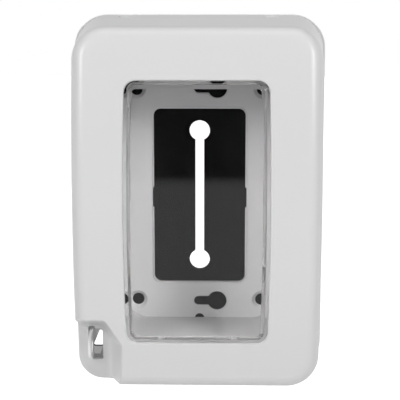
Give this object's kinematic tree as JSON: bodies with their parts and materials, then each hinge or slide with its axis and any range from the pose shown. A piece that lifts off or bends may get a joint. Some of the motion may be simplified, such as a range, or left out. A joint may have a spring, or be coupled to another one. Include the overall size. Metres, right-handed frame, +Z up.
{
  "type": "weatherproof socket cover",
  "caption": "Weatherproof in-use cover for a wall socket: gasketed base, deep white lid with a clear bevelled window, hinged along its top, and a padlock staple at one corner.",
  "frame": {"origin": "middle of the socket opening, on the face of the wall, midway between the two eyes cut in the gasket", "axes": "+X to the right and +Z up as seen from the room, +Y into the wall"},
  "size_m": [0.156, 0.0775, 0.2286],
  "materials": {
    "white_plastic": "moulded, fine satin grain",
    "pale_plastic": "moulded, smooth satin",
    "clear_lens": "clear polycarbonate, polished",
    "black_foam": "closed cell foam",
    "grey_rubber": "soft moulded rubber",
    "zinc_steel": "zinc plated"
  },
  "bodies": {
    "base": {"wall_gasket": "black_foam", "base": "pale_plastic", "plug_surround": "pale_plastic", "surround_screws": "zinc_steel", "padlock_staple": "white_plastic", "cord_seal_left": "grey_rubber", "cord_seal_right": "grey_rubber"},
    "lid": {"lid": "white_plastic", "lens": "clear_lens", "lens_seal": "grey_rubber", "lens_screws": "zinc_steel", "hinge_pins": "zinc_steel"}
  },
  "joints": [
    {"name": "lid_hinge", "type": "hinge", "parent": "base", "child": "lid", "pos_m": [0, -0.014, 0.1077], "axis": [-1, 0, 0], "range_deg": [0, 95]}
  ]
}
